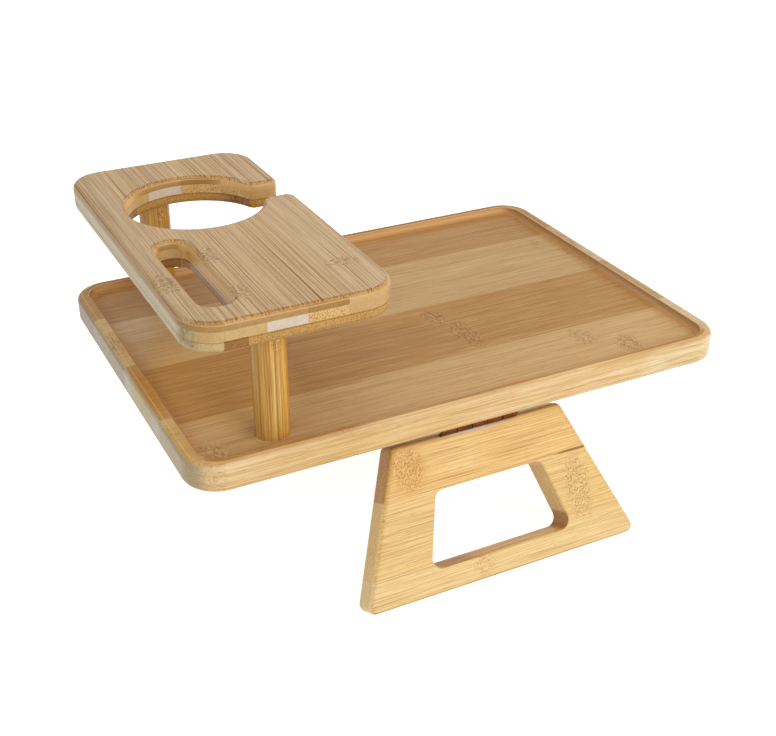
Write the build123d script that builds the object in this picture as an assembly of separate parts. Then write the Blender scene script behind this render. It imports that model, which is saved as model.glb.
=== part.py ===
from build123d import *
import os

# Sofa arm tray: a routed bamboo board with a raised keyhole shelf on two posts
# and a hinged trapezoid leg under each long edge.
# Frame: X along the tray's long edge, Y towards its back, Z up.
# The origin is the centre of the tray's flat underside, which rests on the sofa arm.

os.makedirs("parts", exist_ok=True)

# Overrun of cutting tools past a face, and clearances between fitted pieces
OVERRUN = 2.0
RUNNING_GAP = 0.3
PIN_FIT = 0.05
SCREW_FIT = 0.05

# Tray board
TRAY_LENGTH = 350.0
TRAY_WIDTH = 250.0
TRAY_THICKNESS = 18.0
TRAY_CORNER_RADIUS = 21.0
TRAY_EDGE_ROUND = 3.5
END_RIM = 8.0
SIDE_RIM = 6.0
RIM_INNER_ROUND = 0.5
RECESS_DEPTH = 5.2
RECESS_CORNER_RADIUS = 14.0
RECESS_COVE = 4.0

# Raised shelf, glued from three layers
SHELF_LENGTH = 119.0
TOP_PLY = 5.0
CORE_PLY = 5.5
BOTTOM_PLY = 6.9
SHELF_CORNER_RADIUS = 20.8
SHELF_EDGE_ROUND = 3.5
SHELF_HEIGHT = 97.2
SHELF_END_INSET = 5.7
SHELF_SIDE_INSET = 5.0

# Keyhole for a cup or a stemmed glass, open towards +X
CUP_RADIUS = 41.6
CUP_FROM_BACK = 78.7
STEM_SLOT_WIDTH = 22.6
PRONG_ROUND = 6.0

# Slot that holds a phone upright
PHONE_LENGTH = 88.1
PHONE_WIDTH = 19.8
PHONE_FROM_EDGE = 24.7
PHONE_FROM_FRONT = 65.0

# Round posts between recess floor and shelf
POST_RADIUS = 9.85
POST_INSET = 21.6
POST_FROM_END = 49.4

# Wooden pins that centre the shelf on the posts
DOWEL_RADIUS = 3.0
DOWEL_IN_POST = 12.0
DOWEL_IN_SHELF = 10.0
DOWEL_CHAMFER = 0.6

# Screws from the tray's underside into the posts
POST_SCREW_RADIUS = 2.0
POST_SCREW_HEAD_RADIUS = 4.0
POST_SCREW_LENGTH = 38.0
POST_SCREW_TIP = 4.0

# Folding legs
LEG_TOP_WIDTH = 113.6
LEG_BOTTOM_WIDTH = 185.2
LEG_HEIGHT = 89.2
LEG_THICKNESS = 18.0
LEG_CORNER_RADIUS = 4.6
LEG_EDGE_ROUND = 3.5
LEG_SPLAY = 28.0
LEG_INSET = 6.5

# Trapezoid cut-out of a leg
WINDOW_TOP_WIDTH = 70.6
WINDOW_BOTTOM_WIDTH = 96.2
WINDOW_HEIGHT = 43.9
WINDOW_FROM_TOP = 30.8
WINDOW_CORNER_RADIUS = 5.9
WINDOW_EDGE_ROUND = 1.2

# Butt hinges
HINGE_LENGTH = 51.0
HINGE_KNUCKLES = 5
KNUCKLE_RADIUS = 2.5
LEAF_THICKNESS = 1.3
LEAF_WIDTH = 15.5
LEAF_CORNER_RADIUS = 1.5
PIN_RADIUS = 1.2
PIN_HEAD_HEIGHT = 0.5

# Countersunk screws of the hinge leaves
LEAF_SCREW_RADIUS = 1.4
LEAF_SCREW_HEAD_RADIUS = 2.6
LEAF_SCREW_LENGTH = 10.0
LEAF_SCREW_TIP = 2.2
LEAF_SCREW_SPACING = 19.0
LEAF_SCREW_COUNT = 3
LEAF_SCREW_FROM_EDGE = 5.6

# Cross recess in every screw head, as shares of the head's radius
CROSS_LENGTH_SHARE = 0.62
CROSS_WIDTH_SHARE = 0.16
CROSS_DEPTH_SHARE = 0.34

# Heights and places that follow from the sizes above
FLOOR_Z = TRAY_THICKNESS - RECESS_DEPTH
SHELF_WIDTH = TRAY_WIDTH - SHELF_SIDE_INSET * 2
SHELF_THICKNESS = BOTTOM_PLY + CORE_PLY + TOP_PLY
SHELF_UNDERSIDE_Z = SHELF_HEIGHT - SHELF_THICKNESS
SHELF_X = -TRAY_LENGTH / 2 + SHELF_END_INSET + SHELF_LENGTH / 2
CUP_Y = SHELF_WIDTH / 2 - CUP_FROM_BACK
PHONE_X = SHELF_X - SHELF_LENGTH / 2 + PHONE_FROM_EDGE
PHONE_Y = -SHELF_WIDTH / 2 + PHONE_FROM_FRONT
POST_X = SHELF_X - SHELF_LENGTH / 2 + POST_FROM_END
POST_Y = SHELF_WIDTH / 2 - POST_INSET
POST_HEIGHT = SHELF_UNDERSIDE_Z - FLOOR_Z
PIVOT_Y = TRAY_WIDTH / 2 - LEG_INSET
PIVOT_DROP = KNUCKLE_RADIUS + RUNNING_GAP
LEG_TOP_DROP = PIVOT_DROP - LEAF_THICKNESS


def rounded_plate(length, width, height, corner_radius):
    """Plate with rounded corners, its underside on Z = 0."""
    return extrude(RectangleRounded(length, width, corner_radius), height)


def edges_at(shape, z):
    """Edges of a plate that lie wholly at height z."""
    return shape.edges().filter_by_position(Axis.Z, z - PIN_FIT, z + PIN_FIT)


def trapezoid(top_width, bottom_width, top_drop, height, corner_radius):
    """Face of a symmetric trapezoid in the XZ plane, hanging down from the axis."""
    bottom_drop = top_drop + height
    outline = Polyline(
        (-top_width / 2, -top_drop),
        (top_width / 2, -top_drop),
        (bottom_width / 2, -bottom_drop),
        (-bottom_width / 2, -bottom_drop),
        close=True,
    )
    face = make_face(outline)
    face = fillet(face.vertices(), corner_radius)
    return Plane.XZ * face


def countersunk_screw(radius, head_radius, length, tip):
    """Screw with its flat head on Z = 0 and its point towards -Z, cross recess in the head."""
    head_height = head_radius - radius
    profile = Polyline(
        (0, 0),
        (head_radius, 0),
        (radius, -head_height),
        (radius, tip - length),
        (0, -length),
        close=True,
    )
    body = revolve(Plane.XZ * make_face(profile), Axis.Z)
    arm = head_radius * CROSS_LENGTH_SHARE * 2
    slot = head_radius * CROSS_WIDTH_SHARE * 2
    depth = head_radius * CROSS_DEPTH_SHARE
    cross = Box(arm, slot, depth * 2) + Box(slot, arm, depth * 2)
    return body - cross


def screw_hole(radius, head_radius, length):
    """Flat-bottomed hole that takes countersunk_screw with its clearance, open at Z = 0."""
    profile = Polyline(
        (0, OVERRUN),
        (head_radius + SCREW_FIT, OVERRUN),
        (head_radius + SCREW_FIT, 0),
        (radius + SCREW_FIT, radius - head_radius),
        (radius + SCREW_FIT, -length - SCREW_FIT),
        (0, -length - SCREW_FIT),
        close=True,
    )
    return revolve(Plane.XZ * make_face(profile), Axis.Z)


def place_each(shape, places):
    """Copies of one solid at several places."""
    return [place * shape for place in places]


# Places that several pieces share
POST_PLACES = [Pos(POST_X, -POST_Y, 0), Pos(POST_X, POST_Y, 0)]
SCREW_STEPS = [index - (LEAF_SCREW_COUNT - 1) / 2 for index in range(LEAF_SCREW_COUNT)]
LEAF_SCREW_Y = LEAF_WIDTH - LEAF_SCREW_FROM_EDGE
TRAY_LEAF_SCREWS = [
    Pos(step * LEAF_SCREW_SPACING, LEAF_SCREW_Y, PIVOT_DROP - LEAF_THICKNESS) * Rot(180, 0, 0)
    for step in SCREW_STEPS
]
LEG_LEAF_SCREWS = [
    Pos(step * LEAF_SCREW_SPACING, LEAF_SCREW_Y, -LEG_TOP_DROP) for step in SCREW_STEPS
]
# Front and back hinge frames: X along the axis, Y inboard, Z up
FRONT_HINGE = Pos(0, -PIVOT_Y, -PIVOT_DROP)
BACK_HINGE = Rot(0, 0, 180) * FRONT_HINGE
SPLAY = Rot(-LEG_SPLAY, 0, 0)
HINGE_FRAMES = {"front": FRONT_HINGE, "back": BACK_HINGE}

LEAF_HOLE = screw_hole(LEAF_SCREW_RADIUS, LEAF_SCREW_HEAD_RADIUS, LEAF_SCREW_LENGTH)
POST_HOLE = Rot(180, 0, 0) * screw_hole(
    POST_SCREW_RADIUS, POST_SCREW_HEAD_RADIUS, POST_SCREW_LENGTH
)


def make_tray_board():
    """Board with rounded edges, a routed recess with a coved floor, and its screw holes."""
    board = rounded_plate(TRAY_LENGTH, TRAY_WIDTH, TRAY_THICKNESS, TRAY_CORNER_RADIUS)
    board = fillet(edges_at(board, 0) + edges_at(board, TRAY_THICKNESS), TRAY_EDGE_ROUND)
    half_length = TRAY_LENGTH / 2 - END_RIM
    half_width = TRAY_WIDTH / 2 - SIDE_RIM
    cutter = rounded_plate(
        half_length * 2, half_width * 2, RECESS_DEPTH + OVERRUN, RECESS_CORNER_RADIUS
    )
    cutter = fillet(edges_at(cutter, 0), RECESS_COVE)
    board -= Pos(0, 0, FLOOR_Z) * cutter
    rim = [
        edge
        for edge in edges_at(board, TRAY_THICKNESS)
        if abs(edge.center().X) < half_length + PIN_FIT
        and abs(edge.center().Y) < half_width + PIN_FIT
    ]
    board = fillet(rim, RIM_INNER_ROUND)
    for place in POST_PLACES:
        board -= place * POST_HOLE
    for frame in HINGE_FRAMES.values():
        for place in TRAY_LEAF_SCREWS:
            board -= frame * place * LEAF_HOLE
    return board


def shelf_outline():
    """Face of the shelf with its keyhole and phone slot, in its own place seen from above."""
    plate = Pos(SHELF_X, 0) * RectangleRounded(SHELF_LENGTH, SHELF_WIDTH, SHELF_CORNER_RADIUS)
    cup = Pos(SHELF_X, CUP_Y) * Circle(CUP_RADIUS)
    stem_length = SHELF_LENGTH / 2 + OVERRUN
    stem = Pos(SHELF_X + stem_length / 2, CUP_Y) * Rectangle(stem_length, STEM_SLOT_WIDTH)
    phone = Pos(PHONE_X, PHONE_Y) * Rot(0, 0, 90) * SlotOverall(PHONE_LENGTH, PHONE_WIDTH)
    face = plate - cup - stem
    half_slot = STEM_SLOT_WIDTH / 2
    mouth = [
        vertex
        for vertex in face.vertices()
        if abs(abs(vertex.Y - CUP_Y) - half_slot) < PIN_FIT
    ]
    return fillet(mouth, PRONG_ROUND) - phone


def make_shelf_plies():
    """Three glued layers of the shelf: rounded top, plain core, rounded bottom."""
    outline = shelf_outline()
    bottom = extrude(outline, BOTTOM_PLY)
    bottom = fillet(edges_at(bottom, 0), SHELF_EDGE_ROUND)
    core = extrude(outline, CORE_PLY)
    top = extrude(outline, TOP_PLY)
    top = fillet(edges_at(top, TOP_PLY), SHELF_EDGE_ROUND)
    dowel_hole = Cylinder(
        DOWEL_RADIUS + PIN_FIT,
        DOWEL_IN_SHELF + OVERRUN,
        align=(Align.CENTER, Align.CENTER, Align.MAX),
    )
    core_z = SHELF_UNDERSIDE_Z + BOTTOM_PLY
    plies = {
        "bottom": Pos(0, 0, SHELF_UNDERSIDE_Z) * bottom,
        "core": Pos(0, 0, core_z) * core,
        "top": Pos(0, 0, core_z + CORE_PLY) * top,
    }
    for place in POST_PLACES:
        hole = place * Pos(0, 0, SHELF_UNDERSIDE_Z + DOWEL_IN_SHELF) * dowel_hole
        plies["bottom"] -= hole
        plies["core"] -= hole
    return plies


def make_post():
    """Round post standing on Z = 0, bored for its screw below and its dowel above."""
    post = Cylinder(POST_RADIUS, POST_HEIGHT, align=(Align.CENTER, Align.CENTER, Align.MIN))
    post -= Pos(0, 0, -FLOOR_Z) * POST_HOLE
    bore = Cylinder(DOWEL_RADIUS + PIN_FIT, DOWEL_IN_POST * 2)
    return post - Pos(0, 0, POST_HEIGHT) * bore


def make_dowel():
    """Chamfered wooden pin centred on the joint between post and shelf."""
    length = DOWEL_IN_POST + DOWEL_IN_SHELF - PIN_FIT * 2
    pin = Cylinder(DOWEL_RADIUS, length)
    pin = chamfer(pin.edges().filter_by(GeomType.CIRCLE), DOWEL_CHAMFER)
    return Pos(0, 0, (DOWEL_IN_SHELF - DOWEL_IN_POST) / 2) * pin


def knuckle_bands(odd):
    """Spans along X of every other knuckle, the outer ones when odd is false."""
    pitch = HINGE_LENGTH / HINGE_KNUCKLES
    start = 1 if odd else 0
    return [
        (-HINGE_LENGTH / 2 + pitch * index, -HINGE_LENGTH / 2 + pitch * (index + 1))
        for index in range(start, HINGE_KNUCKLES, 2)
    ]


def make_leaf(odd):
    """Hinge leaf above the axis with its knuckles, notched where the other leaf's knuckles turn."""
    plate = Pos(0, LEAF_WIDTH / 2, PIVOT_DROP - LEAF_THICKNESS) * extrude(
        Rectangle(HINGE_LENGTH, LEAF_WIDTH), LEAF_THICKNESS
    )
    free_corners = plate.edges().filter_by(Axis.Z).group_by(Axis.Y)[-1]
    plate = fillet(free_corners, LEAF_CORNER_RADIUS)
    for place in TRAY_LEAF_SCREWS:
        plate -= place * LEAF_HOLE
    reach = KNUCKLE_RADIUS + RUNNING_GAP
    for low, high in knuckle_bands(not odd):
        notch = Box(high - low, reach * 2, PIVOT_DROP * 2)
        plate -= Pos((low + high) / 2, 0, PIVOT_DROP) * notch
    for low, high in knuckle_bands(odd):
        inner_low = low if low <= -HINGE_LENGTH / 2 else low + RUNNING_GAP
        inner_high = high if high >= HINGE_LENGTH / 2 else high - RUNNING_GAP
        middle = (inner_low + inner_high) / 2
        span = inner_high - inner_low
        barrel = Pos(middle, 0, 0) * Rot(0, 90, 0) * Cylinder(KNUCKLE_RADIUS, span)
        neck_height = PIVOT_DROP
        neck = Pos(middle, KNUCKLE_RADIUS / 2, neck_height / 2) * Box(
            span, KNUCKLE_RADIUS, neck_height
        )
        curl = barrel + neck
        plate += curl
    bore = Rot(0, 90, 0) * Cylinder(PIN_RADIUS + PIN_FIT, HINGE_LENGTH + OVERRUN)
    return plate - bore


def make_hinge_pin():
    """Pin along the axis with a low round head at each end."""
    stem = Rot(0, 90, 0) * Cylinder(PIN_RADIUS, HINGE_LENGTH)
    head = Rot(0, 90, 0) * Cylinder(PIN_RADIUS + PIN_FIT * 2, PIN_HEAD_HEIGHT)
    offset = (HINGE_LENGTH + PIN_HEAD_HEIGHT) / 2
    return stem + Pos(-offset, 0, 0) * head + Pos(offset, 0, 0) * head


def make_leg():
    """Trapezoid leg with its window, hanging straight down from the hinge axis."""
    blank = extrude(
        trapezoid(LEG_TOP_WIDTH, LEG_BOTTOM_WIDTH, LEG_TOP_DROP, LEG_HEIGHT, LEG_CORNER_RADIUS),
        -LEG_THICKNESS,
    )
    faces = blank.faces().filter_by(Axis.Y)
    leg = fillet(faces.edges(), LEG_EDGE_ROUND)
    window = extrude(
        trapezoid(
            WINDOW_TOP_WIDTH,
            WINDOW_BOTTOM_WIDTH,
            LEG_TOP_DROP + WINDOW_FROM_TOP,
            WINDOW_HEIGHT,
            WINDOW_CORNER_RADIUS,
        ),
        -LEG_THICKNESS,
    )
    leg -= window
    rim = [
        edge
        for face in leg.faces().filter_by(Axis.Y)
        for wire in face.inner_wires()
        for edge in wire.edges()
    ]
    leg = fillet(rim, WINDOW_EDGE_ROUND)
    mortise_length = HINGE_LENGTH + RUNNING_GAP * 2
    mortise_width = LEAF_WIDTH + OVERRUN
    mortise = Pos(0, (LEAF_WIDTH - OVERRUN) / 2, -LEG_TOP_DROP) * Box(
        mortise_length, mortise_width, LEAF_THICKNESS * 2
    )
    leg -= mortise
    for place in LEG_LEAF_SCREWS:
        leg -= place * LEAF_HOLE
    return leg


nodes = {}

tray_board = make_tray_board()
nodes["tray_board"] = tray_board

for ply_name, ply_shape in make_shelf_plies().items():
    nodes["shelf_" + ply_name + "_ply"] = ply_shape

post = make_post()
dowel = make_dowel()
post_screw = Rot(180, 0, 0) * countersunk_screw(
    POST_SCREW_RADIUS, POST_SCREW_HEAD_RADIUS, POST_SCREW_LENGTH, POST_SCREW_TIP
)
for side, post_place in zip(("front", "back"), POST_PLACES):
    nodes["post_" + side] = post_place * Pos(0, 0, FLOOR_Z) * post
nodes["post_dowels"] = Compound(
    children=[place * Pos(0, 0, SHELF_UNDERSIDE_Z) * dowel for place in POST_PLACES]
)
nodes["post_screws"] = Compound(children=place_each(post_screw, POST_PLACES))

leg_board = make_leg()
tray_leaf = make_leaf(False)
leg_leaf = Rot(180, 0, 0) * mirror(make_leaf(True), Plane.XZ)
hinge_pin = make_hinge_pin()
leaf_screw = countersunk_screw(
    LEAF_SCREW_RADIUS, LEAF_SCREW_HEAD_RADIUS, LEAF_SCREW_LENGTH, LEAF_SCREW_TIP
)
for side, frame in HINGE_FRAMES.items():
    nodes[side + "_leg"] = frame * SPLAY * leg_board
    nodes[side + "_hinge_tray_leaf"] = frame * tray_leaf
    nodes[side + "_hinge_leg_leaf"] = frame * SPLAY * leg_leaf
    nodes[side + "_hinge_pin"] = frame * hinge_pin
    nodes[side + "_tray_leaf_screws"] = Compound(
        children=[frame * place * leaf_screw for place in TRAY_LEAF_SCREWS]
    )
    nodes[side + "_leg_leaf_screws"] = Compound(
        children=[frame * SPLAY * place * leaf_screw for place in LEG_LEAF_SCREWS]
    )

for node_name, node_shape in nodes.items():
    export_step(node_shape, "parts/" + node_name + ".step")

print(len(nodes), "nodes written")
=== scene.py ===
import logging
import math
from dataclasses import dataclass
from enum import Enum
from typing import Any, Sequence, Union

import bpy
from mathutils import Matrix, Vector

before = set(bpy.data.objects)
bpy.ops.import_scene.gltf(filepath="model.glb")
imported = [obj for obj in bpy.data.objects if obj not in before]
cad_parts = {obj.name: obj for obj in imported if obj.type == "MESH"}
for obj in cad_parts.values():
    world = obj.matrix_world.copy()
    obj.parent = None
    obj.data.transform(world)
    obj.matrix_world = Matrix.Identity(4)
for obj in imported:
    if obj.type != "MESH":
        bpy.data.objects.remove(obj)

# A bamboo tray that sits on a sofa arm: a routed board, a keyhole shelf on two posts
# and two folding legs on butt hinges. Everything is in the part's own frame, in metres
# for Blender and in millimetres inside the finishes, which read it at that scale. A
# finish takes a place as its along, across and depth parts, by the fibres' direction.

LOG = logging.getLogger("sofa_arm_tray")
MM = 0.001
WHITE = (1.0, 1.0, 1.0)

# The screen curve: a straight foot of its own slope, then a shifted power.
FULL, FOOT, SLOPE, SHIFT, POWER = 255, 0.04045, 12.92, 0.055, 2.4
# The Mix node's sockets for colours, by index.
MIX_FACTOR, MIX_BELOW, MIX_ABOVE, MIX_RESULT = 0, 6, 7, 2

Colour = tuple[float, float, float]
Triple = tuple[float, float, float]
Pair = tuple[float, float]
Key = Union[int, str]
Number = Union[float, "Value"]
Paint = Union[Colour, "Value"]
Places = Sequence["Value"]
Material = bpy.types.Material
Owner = Union[Material, bpy.types.World]
Upright = tuple[tuple[float, Colour], ...]


def linear(red: int, green: int, blue: int) -> Colour:
    """The linear colour that a shader takes for an 8-bit one, by the usual screen curve."""
    shares = [channel / FULL for channel in (red, green, blue)]
    return tuple(s / SLOPE if s < FOOT else ((s + SHIFT) / (1 + SHIFT)) ** POWER for s in shares)


class Blend(Enum):
    """How one colour is laid over another, by the Mix node's own names."""

    MIX = "MIX"
    MULTIPLY = "MULTIPLY"
    SCREEN = "SCREEN"


class Value:
    """A number or colour on a shader socket; arithmetic on it adds Math nodes."""

    def __init__(self, graph: "Graph", node: bpy.types.Node, output: Key = 0) -> None:
        """Keep one output of a node.

        Args:
            graph: The node's tree.
            node: The node.
            output: Which of its outputs, by index or name.
        """
        self.graph = graph
        self.made_by = node
        self.socket = node.outputs[output]

    def output(self, name: Key) -> "Value":
        """Another output of the same node."""
        return Value(self.graph, self.made_by, name)

    def math(self, operation: str, *others: Number) -> "Value":
        """Add a Math node that takes this value first and the others in order."""
        sockets = dict(enumerate((self, *others)))
        return self.graph.node("ShaderNodeMath", sockets, operation=operation)

    def __add__(self, other: Number) -> "Value":
        """Sum."""
        return self.math("ADD", other)

    def __sub__(self, other: Number) -> "Value":
        """Difference."""
        return self.math("SUBTRACT", other)

    def __rsub__(self, other: Number) -> "Value":
        """Difference with a plain number on the left."""
        return (self * -1.0).math("ADD", other)

    def __mul__(self, other: Number) -> "Value":
        """Product."""
        return self.math("MULTIPLY", other)

    __radd__ = __add__
    __rmul__ = __mul__

    def __abs__(self) -> "Value":
        """Size without sign."""
        return self.math("ABSOLUTE")

    def maximum(self, other: Number) -> "Value":
        """The larger of the two."""
        return self.math("MAXIMUM", other)

    def between(self, low: float, high: float) -> "Value":
        """Smooth step.

        Args:
            low: Where the step starts, and it may be the larger of the two.
            high: Where it ends.

        Returns:
            0 at low and 1 at high, with a smooth S between them.
        """
        ends = (low, high, 0.0, 1.0) if low < high else (high, low, 1.0, 0.0)
        sockets = dict(enumerate((self, *ends)))
        return self.graph.node("ShaderNodeMapRange", sockets, interpolation_type="SMOOTHSTEP")


class Graph:
    """The node tree of a material or of the surroundings."""

    def __init__(self, owner: Owner, end: str) -> None:
        """Empty the owner's tree but for its output.

        Args:
            owner: The material or world.
            end: The output node's type.
        """
        owner.use_nodes = True
        self.owner = owner
        self.tree = owner.node_tree
        self.tree.nodes.clear()
        self.end = self.tree.nodes.new(end)

    @classmethod
    def material(cls, name: str) -> "Graph":
        """Start a material."""
        return cls(bpy.data.materials.new(name), "ShaderNodeOutputMaterial")

    def node(
        self,
        kind: str,
        sockets: dict[Key, Any] | None = None,
        output: Key = 0,
        **settings: Any,
    ) -> Value:
        """Add one node.

        Args:
            kind: The node's type.
            sockets: Values or links of its inputs, by index or name.
            output: Which output to return.
            settings: Its own settings, of which stops are a ramp's (place, colour) pairs.

        Returns:
            The chosen output.
        """
        made = self.tree.nodes.new(kind)
        for name, setting in settings.items():
            if name == "stops":
                self._set_stops(made.color_ramp, setting)
            elif name == "ramp_interpolation":
                made.color_ramp.interpolation = setting
            else:
                setattr(made, name, setting)
        for key, given in (sockets or {}).items():
            target = made.inputs[key]
            if isinstance(given, Value):
                self.tree.links.new(given.socket, target)
            elif isinstance(given, tuple) and target.type == "RGBA":
                target.default_value = (*given, 1.0)
            else:
                target.default_value = given
        return Value(self, made, output)

    @staticmethod
    def _set_stops(ramp: bpy.types.ColorRamp, stops: Sequence[tuple[float, Colour]]) -> None:
        """Give a colour ramp its stops.

        Args:
            ramp: The ramp, which has two stops as it comes.
            stops: Each stop's place and colour, from the lowest place up.
        """
        while len(ramp.elements) < len(stops):
            ramp.elements.new(1.0)
        for element, (place, colour) in zip(ramp.elements, stops):
            element.position = place
            element.color = (*colour, 1.0)

    def blend(self, factor: Number, first: Paint, second: Paint, mode: Blend = Blend.MIX) -> Value:
        """Lay the second colour over the first: not at all at a factor of 0, fully at 1."""
        sockets = {MIX_FACTOR: factor, MIX_BELOW: first, MIX_ABOVE: second}
        return self.node("ShaderNodeMix", sockets, MIX_RESULT, data_type="RGBA", blend_type=mode.value)

    def solid(self, sockets: dict[Key, Any], height: Value, relief: dict[Key, Any]) -> Material:
        """Finish the material as a solid with a relief, whose height goes from 0 to 1."""
        sockets["Normal"] = self.node("ShaderNodeBump", {"Height": height, **relief})
        return self.finished(self.node("ShaderNodeBsdfPrincipled", sockets))

    def finished(self, shader: Value) -> Owner:
        """Send a shader to the output and return the material or world."""
        self.tree.links.new(shader.socket, self.end.inputs["Surface"])
        return self.owner


@dataclass(frozen=True)
class Noise:
    """Smooth noise, with how fast it changes along, across and through a board, per mm."""

    rates: Triple
    detail: float
    roughness: float = 0.5
    shift: float = 0.0

    def at(self, places: Places, seed: float = 0.0) -> Value:
        """The noise at a place.

        Args:
            places: The place's three parts.
            seed: The board's own offset.

        Returns:
            A number from 0 to 1.
        """
        graph = places[0].graph
        x, y, z = (place * rate for place, rate in zip(places, self.rates))
        vector = graph.node("ShaderNodeCombineXYZ", {0: x, 1: y, 2: z + (seed + self.shift)})
        sockets = {"Vector": vector, "Scale": 1.0, "Detail": self.detail, "Roughness": self.roughness}
        return graph.node("ShaderNodeTexNoise", sockets)


@dataclass(frozen=True)
class Layer:
    """A tint that shows where a pattern passes from one level, start, to another, full."""

    start: float
    full: float
    tint: Colour
    strength: float = 1.0
    mode: Blend = Blend.MULTIPLY

    def over(self, colour: Value, pattern: Value, share: Number = 1.0) -> Value:
        """Lay the tint over a colour where the pattern says, at a share of its strength."""
        factor = pattern.between(self.start, self.full) * (share * self.strength)
        return colour.graph.blend(factor, colour, self.tint, self.mode)


# How far a surface faces a direction, as a part of its normal: where a look starts and is full.
FACES_END = (0.55, 0.85)
FACES_SIDE = (0.45, 0.85)
FACES_UP = (0.40, 0.80)
UPRIGHT = (0.80, 0.40)

# The fibres, from the broadest down, and how far they wander across.
NOISE_MIDDLE = 0.5
SWAY = Noise((0.006, 0.03, 0.03), 1.0)
STREAK = Layer(0.36, 0.66, (0.80, 0.70, 0.55))
VEIN = Layer(0.40, 0.68, (0.84, 0.74, 0.58), 0.7)
DARK_THREAD = Layer(0.50, 0.66, (0.68, 0.55, 0.40))
PALE_THREAD = Layer(0.48, 0.34, (0.28, 0.22, 0.14), mode=Blend.SCREEN)
DASH = Layer(0.58, 0.70, (0.66, 0.50, 0.34), 0.6)
FINE_EDGE = (0.54, 0.62)

# The varnish, and the relief of the fibres under it.
VARNISH = {"Specular IOR Level": 0.22, "Coat Weight": 0.04, "Coat Roughness": 0.25}
LINE_ROUGHNESS = 0.12
RIDGE_ROUGHNESS = 0.10
RIDGES = Noise((0.03, 1.3, 1.3), 2.0)
RIDGE_SHARE = 0.5
RIDGE_RELIEF = {"Strength": 0.30, "Distance": 0.10 * MM}

# Fibres cut across: a cloudy ground dotted with round bundles, a pattern of cells.
CUT_SHARE = 0.85
CLOUD = Noise((0.06, 0.25, 0.45), 2.0)
CLOUDED = Layer(0.40, 0.65, (0.84, 0.76, 0.64), 0.35)
BUNDLE = Layer(0.46, 0.24, (0.46, 0.32, 0.17), 0.60)
BUNDLE_STRETCH = 0.10
BUNDLE_RATE = 0.95
BUNDLE_SCATTER = 0.9

# Node marks: their ragged outline, the fibres' curl in them, their stain, ripples and specks.
MARK_EDGE = (1.15, 0.25)
MARK_FADE = 0.8
RAGGED = Noise((0.30, 0.22, 0.0), 2.0)
RAGGED_REACH = 1.2
CURL = Noise((0.28, 0.30, 0.30), 2.0)
CURL_REACH = 7.0
STAIN = (0.86, 0.72, 0.52)
STAIN_STRENGTH = 0.20
WOBBLE = Noise((0.2, 0.30, 0.2), 1.0)
WOBBLE_REACH = 3.0
DARK_RIPPLE = Layer(0.51, 0.60, (0.58, 0.43, 0.24), 0.62)
PALE_RIPPLE = Layer(0.48, 0.40, (0.30, 0.25, 0.15), 0.40, Blend.SCREEN)
SPECKS = Noise((0.9, 0.9, 0.9), 1.0)
SPECK = Layer(0.60, 0.67, (0.42, 0.28, 0.15), 0.6)

# Patches, seams between strips and glue lines between plies, by their distance in millimetres.
PATCH_EDGE = (1.0, 0.2)
SEAM = Layer(0.30, 0.05, (0.62, 0.48, 0.32), 0.35)
GLUE_LINE = Layer(0.45, 0.15, (0.52, 0.36, 0.17), 0.65)


class Grain(Enum):
    """Which way the fibres of a board run, as its (along, across, depth) directions."""

    ALONG_X = ((1.0, 0.0, 0.0), (0.0, 1.0, 0.0), (0.0, 0.0, 1.0))
    ALONG_Y = ((0.0, 1.0, 0.0), (1.0, 0.0, 0.0), (0.0, 0.0, 1.0))
    ALONG_Z = ((0.0, 0.0, 1.0), (1.0, 0.0, 0.0), (0.0, 1.0, 0.0))


@dataclass(frozen=True)
class Oval:
    """Oval on a board: its middle along and across the fibres and its sizes, in millimetres."""

    along: float
    across: float
    length: float
    width: float

    def distance(self, along: Value, across: Value, bow: float = 0.0) -> Value:
        """Squared distance from the oval's middle, 1 on its outline.

        Args:
            along: The place along the fibres.
            across: The place across them.
            bow: How far the middle line, a parabola, has bent at the oval's sides.

        Returns:
            The squared distance.
        """
        side = (across - self.across) * (2 / self.width)
        reach = (along - self.along + side * side * bow) * (2 / self.length)
        return side * side + reach * reach


@dataclass(frozen=True)
class NodeMark(Oval):
    """Rippled scar that a joint of the cane leaves in a strip."""

    strength: float = 1.0
    bow: float = 0.0


class Reach(Enum):
    """Which of a board's surfaces a patch colours."""

    ALL = "all"
    TOPS = "tops"
    WALLS = "walls"


@dataclass(frozen=True)
class Patch(Oval):
    """Soft oval of another tone; some of them paint light or shade."""

    tint: Colour
    reach: Reach = Reach.ALL


@dataclass(frozen=True)
class Openings:
    """Box round a board's openings, in millimetres, with their long walls' colour, as painted light or
    shade.
    """

    along: Pair
    across: Pair
    wall: Colour
    fade: float = 1.0

    def holds(self, along: Value, across: Value) -> Value:
        """Whether a place lies in the box.

        Args:
            along: The place along the fibres.
            across: The place across them.

        Returns:
            1 inside and 0 outside.
        """
        inside = []
        for place, (low, high) in ((along, self.along), (across, self.across)):
            half = (high - low) / 2
            inside.append(abs(place - (low + high) / 2).between(half, half - self.fade))
        return inside[0] * inside[1]


@dataclass(frozen=True)
class Strip:
    """A strip of a glued board: where it starts, its colours, and how its cut fibres dot it."""

    start: float
    colour: Colour
    cut: Colour
    speckle: float = 1.0


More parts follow.
